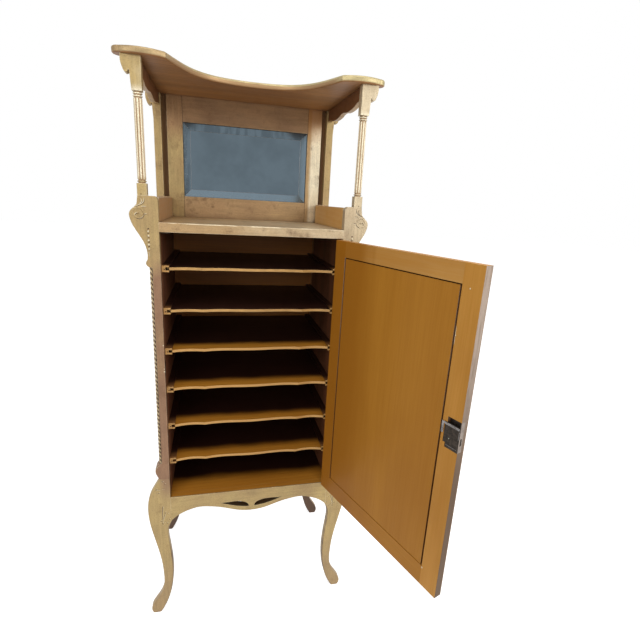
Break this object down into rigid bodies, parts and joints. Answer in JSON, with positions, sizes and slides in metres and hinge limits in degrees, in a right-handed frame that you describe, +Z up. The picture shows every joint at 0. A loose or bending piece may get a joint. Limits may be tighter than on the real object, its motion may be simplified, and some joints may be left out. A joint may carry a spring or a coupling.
{
  "type": "sheet music cabinet",
  "caption": "Tall cabinet on curved legs with a hinged door, thin sliding shelves, and a mirror back between turned posts under a shaped canopy.",
  "frame": {"origin": "middle of the flat underside of the front left foot", "axes": "+Z up, +X towards the viewer's right, the front looks along -Y"},
  "size_m": [0.6387, 0.7497, 1.4083],
  "materials": {
    "gold_paint": "worn gold paint",
    "dark_wood": "dark brown, matt",
    "brown_wood": "golden brown, satin",
    "shelf_wood": "golden brown, satin",
    "door_wood": "orange brown varnish",
    "aged_brass": "darkened",
    "old_steel": "dull",
    "mirror": "bevelled"
  },
  "bodies": {
    "cabinet": {"leg_front_left": "gold_paint", "leg_front_right": "gold_paint", "leg_back_left": "gold_paint", "leg_back_right": "gold_paint", "rope_moulding_left": "gold_paint", "rope_moulding_right": "gold_paint", "case_side_left": "dark_wood", "case_side_right": "dark_wood", "gallery_left": "gold_paint", "gallery_right": "gold_paint", "back_stile_left": "gold_paint", "back_stile_right": "gold_paint", "front_post_left": "gold_paint", "front_post_right": "gold_paint", "back_post_left": "gold_paint", "back_post_right": "gold_paint", "side_valance_left": "gold_paint", "side_valance_right": "gold_paint", "mirror_stile_left": "gold_paint", "mirror_stile_right": "gold_paint", "front_stile_left": "gold_paint", "front_stile_right": "gold_paint", "front_apron": "gold_paint", "back_rail": "dark_wood", "bottom_board": "brown_wood", "case_back": "dark_wood", "deck": "gold_paint", "canopy": "gold_paint", "mirror_rail_bottom": "gold_paint", "mirror_rail_top": "gold_paint", "mirror_glass": "mirror", "mirror_back_board": "dark_wood", "strike_plate": "aged_brass", "door_stop": "aged_brass", "hinge_leaves_case": "old_steel", "hinge_pins": "old_steel", "hinge_screws_case": "old_steel", "runners_1": "brown_wood", "runners_2": "brown_wood", "runners_3": "brown_wood", "runners_4": "brown_wood", "runners_5": "brown_wood", "runners_6": "brown_wood"},
    "door": {"door_stile_hinge": "door_wood", "door_stile_lock": "door_wood", "door_rail_bottom": "door_wood", "door_rail_top": "door_wood", "door_panel": "door_wood", "key_plate": "aged_brass", "lock_case": "aged_brass", "lock_cover": "old_steel", "hinge_leaves_door": "old_steel", "hinge_screws_door": "old_steel"},
    "bolt": {"lock_bolt": "aged_brass"},
    "shelf_body_1": {"shelf_1": "shelf_wood"},
    "shelf_body_2": {"shelf_2": "shelf_wood"},
    "shelf_body_3": {"shelf_3": "shelf_wood"},
    "shelf_body_4": {"shelf_4": "shelf_wood"},
    "shelf_body_5": {"shelf_5": "shelf_wood"},
    "shelf_body_6": {"shelf_6": "shelf_wood"}
  },
  "joints": [
    {"name": "door_swing", "type": "hinge", "parent": "cabinet", "child": "door", "pos_m": [0.46693, -0.012, 0.712], "axis": [0, 0, 1], "range_deg": [-110.2, 65]},
    {"name": "lock_bolt_slide", "type": "slide", "parent": "door", "child": "bolt", "axis": [0.3453, -0.9385, 0], "range_m": [0, 0.008]},
    {"name": "shelf_1_slide", "type": "slide", "parent": "cabinet", "child": "shelf_body_1", "axis": [0, -1, 0], "range_m": [0, 0.025]},
    {"name": "shelf_2_slide", "type": "slide", "parent": "cabinet", "child": "shelf_body_2", "axis": [0, -1, 0], "range_m": [0, 0.025]},
    {"name": "shelf_3_slide", "type": "slide", "parent": "cabinet", "child": "shelf_body_3", "axis": [0, -1, 0], "range_m": [0, 0.025]},
    {"name": "shelf_4_slide", "type": "slide", "parent": "cabinet", "child": "shelf_body_4", "axis": [0, -1, 0], "range_m": [0, 0.025]},
    {"name": "shelf_5_slide", "type": "slide", "parent": "cabinet", "child": "shelf_body_5", "axis": [0, -1, 0], "range_m": [0, 0.025]},
    {"name": "shelf_6_slide", "type": "slide", "parent": "cabinet", "child": "shelf_body_6", "axis": [0, -1, 0], "range_m": [0, 0.025]}
  ]
}
